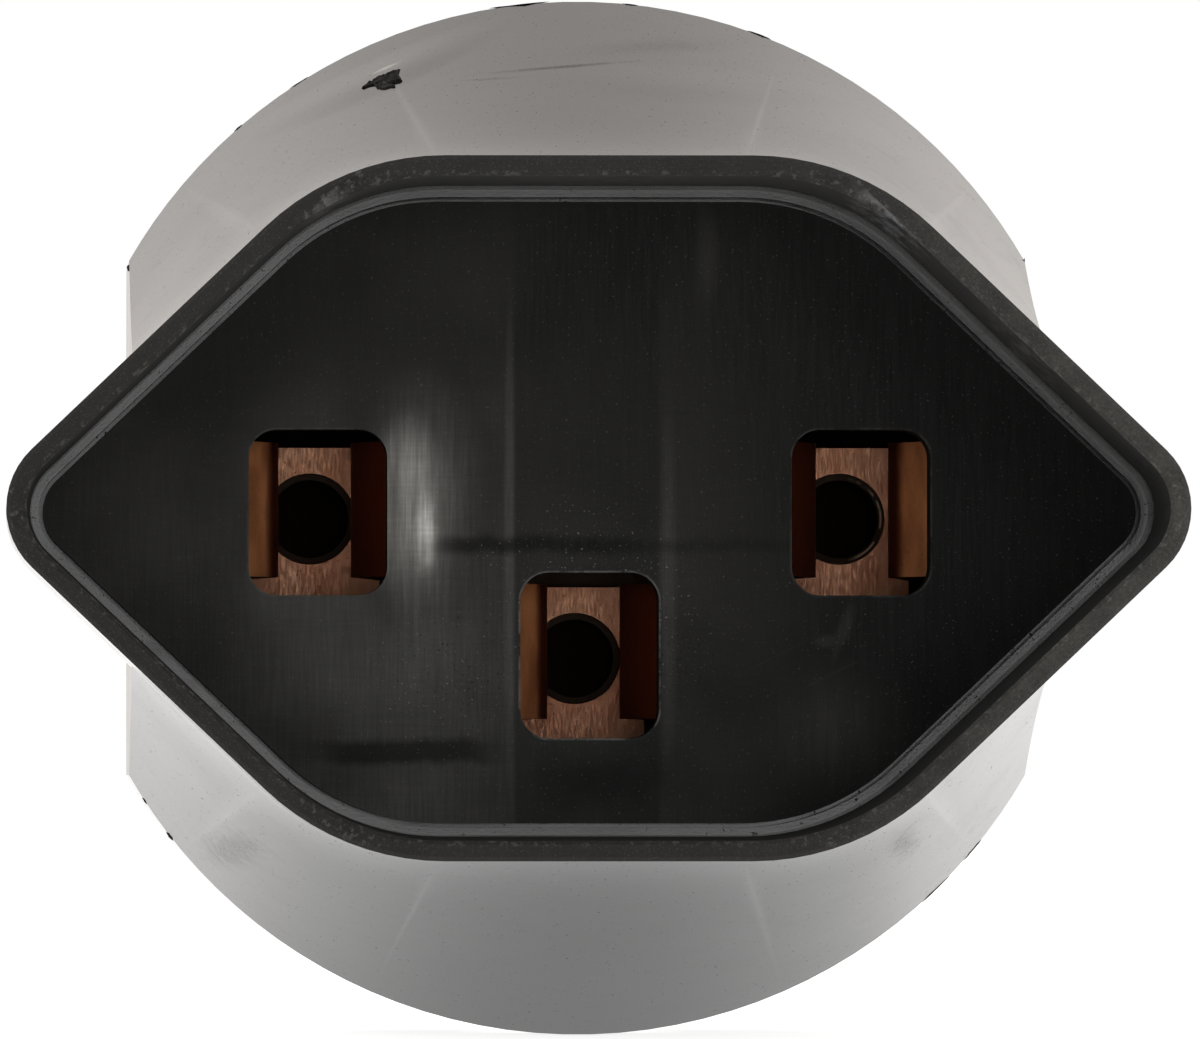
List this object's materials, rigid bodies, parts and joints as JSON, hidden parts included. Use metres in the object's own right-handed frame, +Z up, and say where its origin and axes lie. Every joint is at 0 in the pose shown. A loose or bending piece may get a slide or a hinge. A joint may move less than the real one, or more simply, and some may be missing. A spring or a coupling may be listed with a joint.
{
  "type": "travel adapter",
  "caption": "Black rubber mains travel adapter: hexagonal collar socket with rectangular openings at one end, round plug with pins and side earth contacts at the other.",
  "frame": {"origin": "the middle of the plug face, between the two plug pins", "axes": "+Y along the plug pins, away from the body; +X to the right and +Z up as seen facing the socket, whose earth opening is the lower one"},
  "size_m": [0.0408, 0.064, 0.0368],
  "materials": {
    "rubber": "matte moulded",
    "hard_plastic": "fine matte",
    "bronze": "rolled, slightly tarnished",
    "plated_brass": "nickel plated"
  },
  "bodies": {
    "root": {"rubber_body": "rubber", "socket_face": "hard_plastic", "plug_bridge": "hard_plastic", "line_clip": "bronze", "neutral_clip": "bronze", "earth_clip": "bronze", "line_pin": "plated_brass", "neutral_pin": "plated_brass", "earth_rivet": "plated_brass", "earth_strap": "plated_brass", "earth_sleeve": "plated_brass"}
  },
  "joints": []
}
